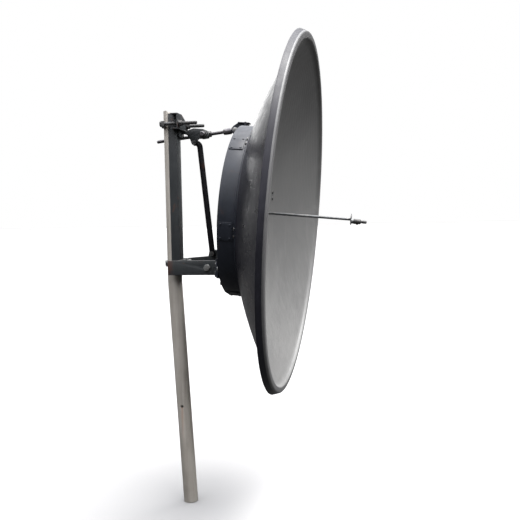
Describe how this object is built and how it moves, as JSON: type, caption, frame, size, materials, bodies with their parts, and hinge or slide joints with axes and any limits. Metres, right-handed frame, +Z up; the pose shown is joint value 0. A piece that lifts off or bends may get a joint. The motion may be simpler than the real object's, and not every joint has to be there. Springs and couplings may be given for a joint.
{
  "type": "satellite dish",
  "caption": "Prime-focus satellite dish: spun reflector on a ring with a boom feed, carried by a clamped yoke and threaded elevation rod on a bent tubular mast.",
  "frame": {"origin": "centre of the mast's cut foot", "axes": "+X the way the dish faces, +Z up along the straight upper mast, +Y to the left of the boresight seen from behind"},
  "size_m": [0.7428, 1.2124, 1.62],
  "materials": {
    "mast_steel": "weathered galvanised",
    "cap_plastic": "matt",
    "mount_paint": "satin paint",
    "clamp_casting": "rough cast",
    "brace_paint": "satin paint",
    "dark_hardware": "weathered dark",
    "zinc_hardware": "dull zinc",
    "rod_steel": "dark zinc",
    "reflector_paint": "satin grey paint on spun aluminium",
    "drum_paint": "satin grey paint",
    "bush_plastic": "matt",
    "hub_metal": "satin",
    "boom_metal": "satin",
    "feed_black": "matt",
    "socket_nickel": "nickel plate",
    "insulator_white": "matt",
    "contact_gold": "gold plate"
  },
  "bodies": {
    "mast": {"mast_tube": "mast_steel", "mast_cap": "cap_plastic"},
    "mount": {"upright_angle": "mount_paint", "top_channel": "mount_paint", "top_packer": "mount_paint", "top_saddle": "clamp_casting", "top_clamp_bolts": "dark_hardware", "clamp_washers": "dark_hardware", "clamp_nuts": "dark_hardware", "top_arm": "mount_paint", "brace_tube": "brace_paint", "brace_bolts": "dark_hardware", "brace_nuts": "dark_hardware", "yoke_arm_near": "mount_paint", "yoke_arm_far": "mount_paint", "yoke_web": "mount_paint", "lower_saddle": "clamp_casting", "lower_clamp_bolts": "dark_hardware", "pivot_bolts": "zinc_hardware", "pivot_washers": "zinc_hardware", "pivot_nuts": "zinc_hardware"},
    "swivel": {"swivel_block": "rod_steel", "swivel_washers": "dark_hardware", "swivel_nut": "dark_hardware", "adjust_washers": "dark_hardware", "adjust_nuts": "dark_hardware"},
    "rod": {"elevation_rod": "rod_steel", "rod_eye": "rod_steel", "rod_locknut": "dark_hardware"},
    "dish": {"reflector": "reflector_paint", "back_ring": "drum_paint", "ring_flange": "drum_paint", "flange_screws": "dark_hardware", "joint_straps": "drum_paint", "strap_rivets": "drum_paint", "mount_plate": "drum_paint", "ring_bolts": "zinc_hardware", "pivot_beam": "drum_paint", "pivot_ear_near": "drum_paint", "pivot_ear_far": "drum_paint", "ear_bolts": "dark_hardware", "pivot_bushes": "bush_plastic", "clevis_bracket": "drum_paint", "clevis_pin": "zinc_hardware", "clevis_cotter": "zinc_hardware", "hub_front": "hub_metal", "hub_back": "hub_metal", "hub_screws": "zinc_hardware", "feed_collar": "hub_metal"},
    "feed": {"feed_sleeve": "hub_metal", "feed_boom": "boom_metal", "feed_disc": "boom_metal", "feed_head": "feed_black", "feed_stub": "feed_black", "feed_tip": "feed_black", "feed_socket": "socket_nickel", "socket_insulator": "insulator_white", "socket_contact": "contact_gold"}
  },
  "joints": [
    {"name": "azimuth_turn", "type": "hinge", "parent": "mast", "child": "mount", "pos_m": [-0.0383, 0, 0.841], "axis": [0, 0, 1], "continuous": true},
    {"name": "elevation_tilt", "type": "hinge", "parent": "mount", "child": "dish", "pos_m": [0.09771, 0, 0.841], "axis": [0, -1, 0], "range_deg": [-5, 5]},
    {"name": "swivel_turn", "type": "hinge", "parent": "mount", "child": "swivel", "pos_m": [0.06971, 0.052, 1.303], "axis": [0, -1, 0], "range_deg": [-6, 6]},
    {"name": "rod_slide", "type": "slide", "parent": "swivel", "child": "rod", "axis": [0.9946, 0, 0.1038], "range_m": [-0.041, 0.041]},
    {"name": "feed_turn", "type": "hinge", "parent": "dish", "child": "feed", "pos_m": [0.17214, 0, 1.0351], "axis": [0.9956, 0, -0.0934], "range_deg": [-90, 90]}
  ],
  "couplings": [
    {"joint": "swivel_turn", "follows": "elevation_tilt", "ratio": 1.18},
    {"joint": "rod_slide", "follows": "elevation_tilt", "m_per_rad": -0.462}
  ]
}
